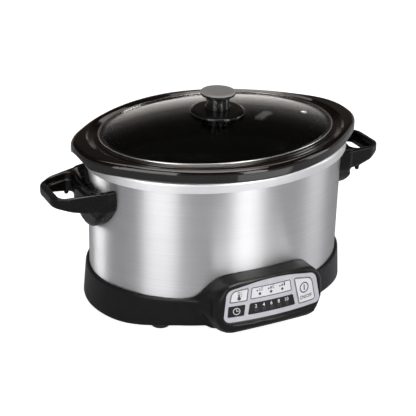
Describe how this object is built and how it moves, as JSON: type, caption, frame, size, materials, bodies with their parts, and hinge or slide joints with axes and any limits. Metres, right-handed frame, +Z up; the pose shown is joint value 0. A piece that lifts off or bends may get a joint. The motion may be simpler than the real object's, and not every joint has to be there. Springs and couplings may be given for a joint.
{
  "type": "slow cooker",
  "caption": "Oval programmable slow cooker: brushed steel shell on a black base with a front control pod, lift-out glazed crock, domed glass lid, loop handles.",
  "frame": {"origin": "centre of the bounding box's footprint, on the table plane under the feet", "axes": "+X along the long way of the oval, from the left handle to the right one; -Y out of the control pod's side (the front); +Z up"},
  "size_m": [0.38, 0.2606, 0.2226],
  "materials": {
    "lid_glass": "polished",
    "polished_steel": "polished",
    "black_phenolic": "satin",
    "crock_glaze": "gloss",
    "well_metal": "satin",
    "brushed_steel": "brushed",
    "base_plastic": "satin",
    "plate_metal": "matte",
    "black_rubber": "matte",
    "zinc_steel": "satin",
    "mica": "matte",
    "fuse_metal": "satin",
    "panel_print": "satin",
    "key_light": "satin",
    "key_dark": "satin",
    "board_green": "satin",
    "component_black": "matte",
    "lamp_lens": "polished",
    "standoff_nylon": "satin",
    "transformer_core": "satin",
    "ribbon_grey": "satin",
    "lead_sleeve": "matte"
  },
  "bodies": {
    "housing": {"heating_well": "well_metal", "outer_shell": "brushed_steel", "base_skirt": "base_plastic", "base_plate": "plate_metal", "feet": "black_rubber", "base_screws": "zinc_steel", "tie_stud": "zinc_steel", "tie_nut": "zinc_steel", "left_handle": "black_phenolic", "right_handle": "black_phenolic", "handle_screws": "zinc_steel", "heater_band": "mica", "heater_strap": "zinc_steel", "strap_screw": "zinc_steel", "thermal_fuse": "fuse_metal", "fuse_clip": "zinc_steel", "temp_sensor": "fuse_metal", "sensor_clip": "zinc_steel", "control_overlay": "panel_print", "control_board": "board_green", "board_screws": "zinc_steel", "switch_bodies": "component_black", "heat_leds": "lamp_lens", "time_leds": "lamp_lens", "power_board": "board_green", "board_standoffs": "standoff_nylon", "relay": "component_black", "transformer": "transformer_core", "terminal_block": "standoff_nylon", "ribbon_cable": "ribbon_grey", "heater_leads": "lead_sleeve", "cord_gland": "black_rubber"},
    "crock": {"crock": "crock_glaze"},
    "lid": {"glass_lid": "lid_glass", "lid_band": "polished_steel", "lid_knob": "black_phenolic", "knob_escutcheon": "black_phenolic", "knob_screw": "zinc_steel", "knob_washer": "black_rubber"},
    "temp_button": {"temp_key": "key_light", "temp_plunger": "component_black"},
    "hours_button": {"hours_key": "key_dark", "hours_plunger": "component_black"},
    "power_button": {"power_key": "key_light", "power_plunger": "component_black"}
  },
  "joints": [
    {"name": "crock_lift", "type": "slide", "parent": "housing", "child": "crock", "axis": [0, 0, 1], "range_m": [0, 0.14]},
    {"name": "lid_lift", "type": "slide", "parent": "crock", "child": "lid", "axis": [0, 0, 1], "range_m": [0, 0.1]},
    {"name": "temp_press", "type": "slide", "parent": "housing", "child": "temp_button", "axis": [0, 0.9851, -0.1719], "range_m": [0, 0.0006], "stiffness_N_per_m": 1500},
    {"name": "hours_press", "type": "slide", "parent": "housing", "child": "hours_button", "axis": [0, 0.9851, -0.1719], "range_m": [0, 0.0006], "stiffness_N_per_m": 1500},
    {"name": "power_press", "type": "slide", "parent": "housing", "child": "power_button", "axis": [0, 0.9851, -0.1719], "range_m": [0, 0.0006], "stiffness_N_per_m": 1500}
  ]
}
